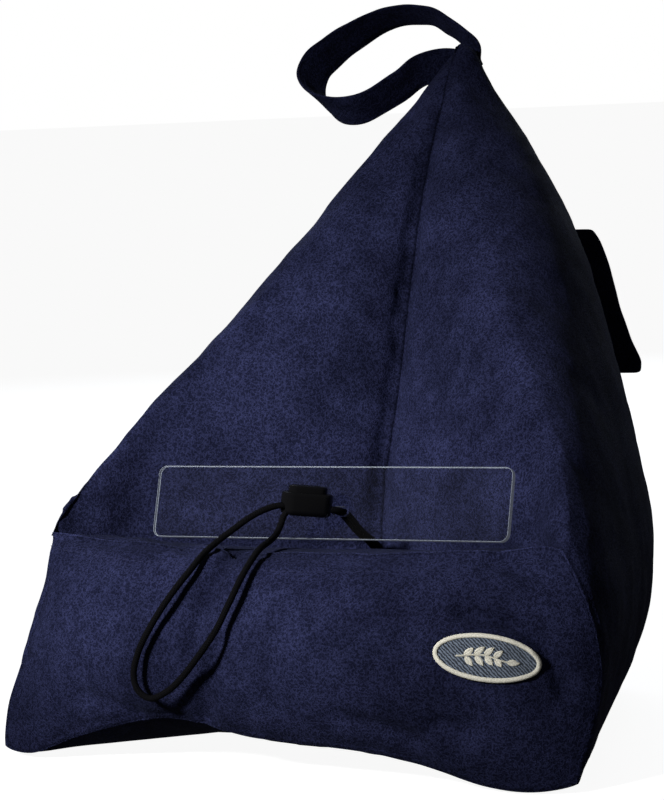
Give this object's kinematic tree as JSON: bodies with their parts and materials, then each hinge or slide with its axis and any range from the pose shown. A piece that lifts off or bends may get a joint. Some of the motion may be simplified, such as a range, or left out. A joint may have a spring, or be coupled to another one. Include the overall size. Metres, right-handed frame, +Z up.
{
  "type": "book rest pillow",
  "caption": "Filled pyramid rest of dark suede for a book or tablet, with a fat front lip, a clear strip on an elastic cord that holds pages open, and a carry strap.",
  "frame": {"origin": "middle of the footprint's box, on the surface it stands on, measured without the cord and its lock", "axes": "+Z up, +Y towards the back, +X to the right as the reader sees it"},
  "size_m": [0.3086, 0.2904, 0.3504],
  "materials": {
    "suede": "dark navy faux suede with a short nap",
    "embroidery": "cream satin stitch around a grey-blue twill field",
    "clear": "clear polished plastic",
    "elastic": "black braided elastic",
    "black_plastic": "black, lightly polished"
  },
  "bodies": {
    "rest": {"bag": "suede", "carry-strap": "suede", "pocket-flap": "suede", "badge": "embroidery", "page-holder": "clear", "cord": "elastic", "lock-barrel": "black_plastic"},
    "button": {"lock-button": "black_plastic"}
  },
  "joints": [
    {"name": "button_press", "type": "slide", "parent": "rest", "child": "button", "axis": [-0.1166, -0.1007, -0.9881], "range_m": [0, 0.0025], "stiffness_N_per_m": 600}
  ]
}
